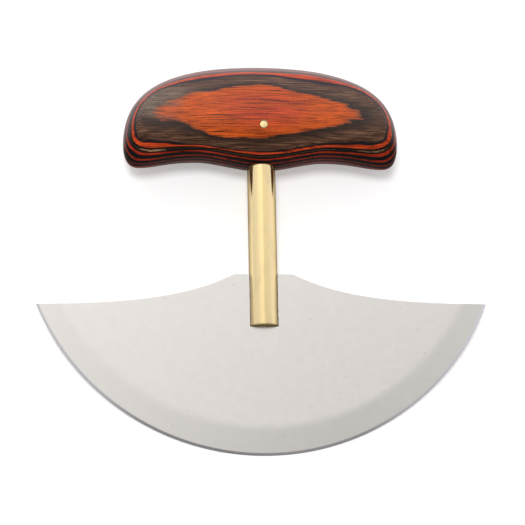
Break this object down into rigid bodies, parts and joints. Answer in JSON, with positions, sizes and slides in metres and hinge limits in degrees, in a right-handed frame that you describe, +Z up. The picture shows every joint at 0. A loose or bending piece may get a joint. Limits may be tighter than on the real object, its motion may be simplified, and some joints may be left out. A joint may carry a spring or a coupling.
{
  "type": "ulu knife",
  "caption": "Half-moon rocking kitchen knife with a round brass stem and a crowned laminated wood handle across its top.",
  "frame": {"origin": "on the surface that the knife lies on, under the middle of its box", "axes": "+X across the blade from tip to tip, +Y from the cutting edge towards the handle, +Z up out of the surface. The knife lies on the crown of the handle's back and the bottom of the cutting edge, so its own plane leans back about 6.3 degrees about X"},
  "size_m": [0.15, 0.1318, 0.0253],
  "materials": {
    "steel": "fine satin, with a wide ground bevel",
    "brass": "polished",
    "veneer_red": "dyed orange-red, resin filled and polished",
    "veneer_dark": "dyed dark brown, resin filled and polished",
    "laminated_wood": "the veneers of both colours as one shaped and polished block"
  },
  "bodies": {
    "root": {"blade": "steel", "stem": "brass", "cross_pin": "brass", "veneer_01": "veneer_red", "veneer_02": "veneer_dark", "veneer_03": "veneer_red", "veneer_04": "veneer_dark", "veneer_05": "veneer_red", "veneer_06": "veneer_dark", "veneer_07": "veneer_red", "veneer_08": "veneer_dark", "veneer_09": "veneer_red", "veneer_10": "veneer_dark", "veneer_11": "veneer_red", "veneer_12": "veneer_dark", "veneer_13": "veneer_red", "veneer_14": "veneer_dark", "veneer_15": "veneer_red", "veneer_16": "veneer_dark", "veneer_17": "veneer_red"}
  },
  "joints": []
}
